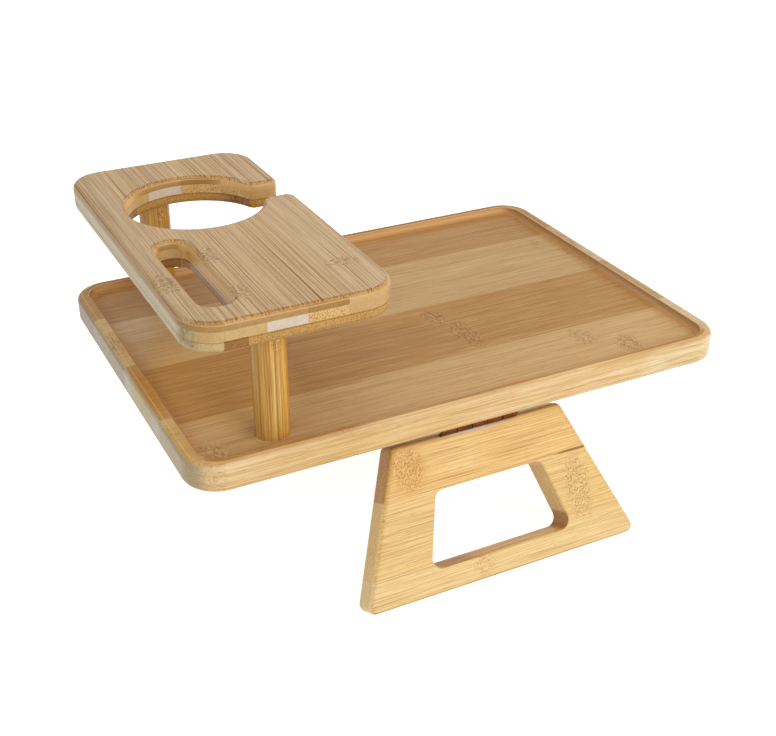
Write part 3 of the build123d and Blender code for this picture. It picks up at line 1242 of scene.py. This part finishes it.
@dataclass
class Studio:
    """Plain pale floor, soft lamps and the camera, in metres and degrees.

    Attributes:
        spread: Half of the floor's width.
        floor_tone: How much light the floor returns.
        floor_glow: Its own light to the camera and to reflections, which keeps it white.
        yaw: How far the camera is turned right of the +Y axis, and pitch how far down.
        focal: Focal length, in the photograph's pixels, as principal, the lens axis, is.
        sensor: Width of the camera's sensor, in millimetres.
    """

    floor: float = -0.0903
    spread: float = 6.0
    floor_tone: float = 0.85
    floor_glow: float = 0.80
    world_strength: float = 0.65
    lamps: tuple[SoftBox, ...] = (
        SoftBox("key", (0.55, -1.55, 0.75), 1.3, 16.0),
        SoftBox("top", (0.15, 0.10, 1.70), 1.6, 4.0),
    )
    camera_place: Triple = (-0.32209, -0.63607, 0.37302)
    yaw: float = 26.783
    pitch: float = 29.704
    roll: float = -0.078
    focal: float = 1225.1
    principal: Pair = (384.88, 377.79)
    picture: tuple[int, int] = (776, 736)
    sensor: float = 36.0
    nearest: float = 0.01

    def build_floor(self) -> None:
        """A wide square floor that stays white to the camera except where a shadow falls."""
        low, high = -self.spread, self.spread
        outline = ((low, low), (high, low), (high, high), (low, high))
        corners = [(*corner, self.floor) for corner in outline]
        mesh = bpy.data.meshes.new("studio_floor")
        mesh.from_pydata(corners, [], [(0, 1, 2, 3)])
        floor = bpy.data.objects.new("studio_floor", mesh)
        bpy.context.scene.collection.objects.link(floor)
        graph = Graph.material("studio_floor_white")
        path = graph.node("ShaderNodeLightPath", output="Is Camera Ray")
        seen = path.maximum(path.output("Is Glossy Ray")).maximum(path.output("Is Transmission Ray"))
        matt = graph.node("ShaderNodeBsdfDiffuse", {"Color": (self.floor_tone,) * 3})
        light = {"Color": WHITE, "Strength": seen * self.floor_glow}
        glow = graph.node("ShaderNodeEmission", light)
        both = graph.node("ShaderNodeAddShader", {0: matt, 1: glow})
        mesh.materials.append(graph.finished(both))

    def build_world(self) -> None:
        """White surroundings: full white to the camera, softer as light and in reflections."""
        graph = Graph(bpy.data.worlds.new("studio_world"), "ShaderNodeOutputWorld")
        path = graph.node("ShaderNodeLightPath", output="Is Camera Ray")
        seen = path.maximum(path.output("Is Transmission Ray"))
        strength = self.world_strength + seen * (1.0 - self.world_strength)
        back = graph.node("ShaderNodeBackground", {"Color": WHITE, "Strength": strength})
        bpy.context.scene.world = graph.finished(back)

    def build_lamps(self) -> None:
        """Square soft boxes that face the middle of the tray."""
        for box in self.lamps:
            lamp = bpy.data.lights.new(box.name, "AREA")
            lamp.shape = "SQUARE"
            lamp.size = box.size
            lamp.energy = box.power
            holder = bpy.data.objects.new(box.name, lamp)
            holder.location = box.place
            holder.rotation_euler = (-Vector(box.place)).to_track_quat("-Z", "Y").to_euler()
            bpy.context.scene.collection.objects.link(holder)

    def build_camera(self) -> None:
        """Camera at the photograph's own place, angle and framing."""
        data = bpy.data.cameras.new("view")
        wide, high = self.picture
        data.sensor_width = self.sensor
        data.lens = self.focal / wide * self.sensor
        data.shift_x = (wide / 2 - self.principal[0]) / wide
        data.shift_y = (self.principal[1] - high / 2) / wide
        data.clip_start = self.nearest
        camera = bpy.data.objects.new("view", data)
        turn = Matrix.Rotation(math.radians(-self.yaw), 4, "Z")
        tilt = Matrix.Rotation(math.radians(90 - self.pitch), 4, "X")
        roll = Matrix.Rotation(math.radians(-self.roll), 4, "Z")
        camera.matrix_world = Matrix.Translation(self.camera_place) @ turn @ tilt @ roll
        bpy.context.scene.collection.objects.link(camera)
        bpy.context.scene.camera = camera

    def build(self) -> None:
        """Build the whole set."""
        bpy.context.scene.view_settings.view_transform = "Standard"
        self.build_floor()
        self.build_world()
        self.build_lamps()
        self.build_camera()
        LOG.info("studio with %d lamps", len(self.lamps))


def main() -> None:
    """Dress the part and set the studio."""
    logging.basicConfig(level=logging.INFO, format="%(name)s: %(message)s")
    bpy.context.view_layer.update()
    bronze = Metal("hinge_bronze_plated", linear(84, 44, 20), linear(108, 62, 32)).build()
    pin = Metal("pin_steel_bright", linear(176, 172, 168), linear(196, 192, 188)).build()
    screw = Metal("screw_steel_bright", linear(182, 178, 172), linear(204, 200, 196)).build()
    TrayBoard().dress()
    RaisedShelf().dress()
    ShelfPosts().dress(screw)
    for side in Side:
        FoldingLeg(side).dress(bronze, pin, screw)
    Studio().build()


if __name__ == "__main__":
    main()
